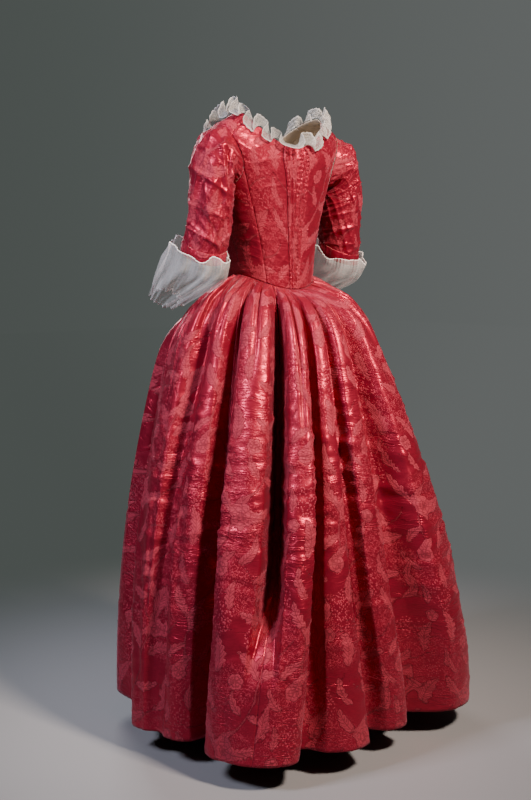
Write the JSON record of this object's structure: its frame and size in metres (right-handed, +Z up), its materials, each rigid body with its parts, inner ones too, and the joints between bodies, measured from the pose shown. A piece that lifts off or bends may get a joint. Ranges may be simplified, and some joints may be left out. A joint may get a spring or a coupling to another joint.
{
  "type": "open gown with fitted back and petticoat",
  "caption": "Worn, hollow open gown of silk damask with a fitted pleated back, elbow sleeves with sheer ruffles, a full folded skirt over a matching petticoat and a lace neck frill",
  "frame": {"origin": "midway between the tops of the two shoulder straps, where the wearer's shoulders hold the garment up", "axes": "+Z up, -Y towards the wearer's front, +X towards the wearer's left"},
  "size_m": [0.7602, 0.6915, 1.3545],
  "materials": {
    "silk": "crimson silk damask, satin pattern on a matt ground",
    "lawn": "white sheer lawn and lace"
  },
  "bodies": {
    "root": {"centre_back_left": "silk", "centre_back_right": "silk", "back_left": "silk", "back_right": "silk", "side_left": "silk", "side_right": "silk", "front_left": "silk", "front_right": "silk", "shoulder_strap_left": "silk", "shoulder_strap_right": "silk", "sleeve_left": "silk", "sleeve_right": "silk", "sleeve_band_left": "silk", "sleeve_band_right": "silk", "elbow_ruffle_left": "lawn", "elbow_ruffle_right": "lawn", "neck_frill": "lawn", "skirt_side_left": "silk", "skirt_back_left": "silk", "skirt_back_right": "silk", "skirt_side_right": "silk", "petticoat_back": "silk", "petticoat_front": "silk", "petticoat_side_left": "silk", "petticoat_side_right": "silk"}
  },
  "joints": []
}
